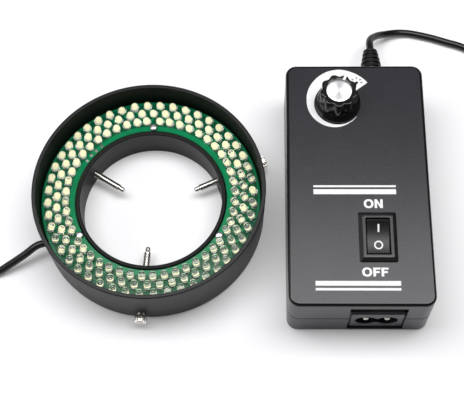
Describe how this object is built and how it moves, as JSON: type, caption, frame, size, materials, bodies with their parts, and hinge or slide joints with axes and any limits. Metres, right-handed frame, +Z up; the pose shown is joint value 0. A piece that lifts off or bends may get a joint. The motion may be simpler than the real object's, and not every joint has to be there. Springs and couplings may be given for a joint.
{
  "type": "microscope ring light",
  "caption": "LED ring light for a microscope, clamped by knurled thumbscrews, with a corded control box that has a dimmer knob, a rocker switch and a mains inlet.",
  "frame": {"origin": "centre of the control box's base, on the surface that the ring and the box stand on", "axes": "+Z up, +Y from the mains inlet to the cord's strain relief, +X from the ring toward the box"},
  "size_m": [0.2818, 0.1735, 0.0422],
  "materials": {
    "ring_plastic": "satin moulded",
    "board_green": "solder mask",
    "screw_steel": "zinc plated",
    "bright_nickel": "polished",
    "case_plastic": "fine textured",
    "knob_plastic": "satin moulded",
    "spun_aluminium": "spun",
    "switch_plastic": "glossy",
    "inlet_plastic": "moulded",
    "tinned_brass": "tinned",
    "cord_vinyl": "satin",
    "board_tan": "laminate",
    "ferrite": "sintered",
    "winding_tape": "film tape",
    "can_sleeve": "shrink sleeve",
    "raw_aluminium": "extruded"
  },
  "bodies": {
    "ring_box_and_cord": {"ring_housing": "ring_plastic", "led_board": "board_green", "board_screw_1": "screw_steel", "board_screw_2": "screw_steel", "board_screw_3": "screw_steel", "upper_case": "case_plastic", "lower_case": "case_plastic", "case_screw_1": "screw_steel", "case_screw_2": "screw_steel", "case_screw_3": "screw_steel", "case_screw_4": "screw_steel", "power_board": "board_tan", "transformer_core": "ferrite", "transformer_winding": "winding_tape", "input_capacitor": "can_sleeve", "output_capacitor": "can_sleeve", "heat_sink": "raw_aluminium", "potentiometer_body": "inlet_plastic", "potentiometer_nut": "screw_steel", "switch_frame": "switch_plastic", "switch_terminal_1": "tinned_brass", "switch_terminal_2": "tinned_brass", "inlet_body": "inlet_plastic", "inlet_pin_1": "tinned_brass", "inlet_pin_2": "tinned_brass", "strain_relief": "cord_vinyl", "cord_ring_stretch": "cord_vinyl", "cord_coil": "cord_vinyl", "cord_box_stretch": "cord_vinyl"},
    "right_thumbscrew": {"thumbscrew_1": "bright_nickel"},
    "left_thumbscrew": {"thumbscrew_2": "bright_nickel"},
    "near_thumbscrew": {"thumbscrew_3": "bright_nickel"},
    "dimmer": {"dimmer_knob": "knob_plastic", "knob_cap": "spun_aluminium", "knob_set_screw": "screw_steel", "potentiometer_shaft": "screw_steel"},
    "rocker": {"switch_rocker": "switch_plastic"}
  },
  "joints": [
    {"name": "right_thumbscrew_slide", "type": "slide", "parent": "ring_box_and_cord", "child": "right_thumbscrew", "axis": [0.9107, 0.4131, 0], "range_m": [-0.0011, 0.0072]},
    {"name": "left_thumbscrew_slide", "type": "slide", "parent": "ring_box_and_cord", "child": "left_thumbscrew", "axis": [-0.848, 0.5299, 0], "range_m": [-0.0003, 0.015]},
    {"name": "near_thumbscrew_slide", "type": "slide", "parent": "ring_box_and_cord", "child": "near_thumbscrew", "axis": [-0.0645, -0.9979, 0], "range_m": [-0.0003, 0.0113]},
    {"name": "dimmer_turn", "type": "hinge", "parent": "ring_box_and_cord", "child": "dimmer", "pos_m": [-0.0074, 0.035, 0.0305], "axis": [0, 0, 1], "range_deg": [-29.5, 254.5]},
    {"name": "rocker_tilt", "type": "hinge", "parent": "ring_box_and_cord", "child": "rocker", "pos_m": [0.0069, -0.0249, 0.0301], "axis": [1, 0, 0], "range_deg": [-24, 0]}
  ]
}
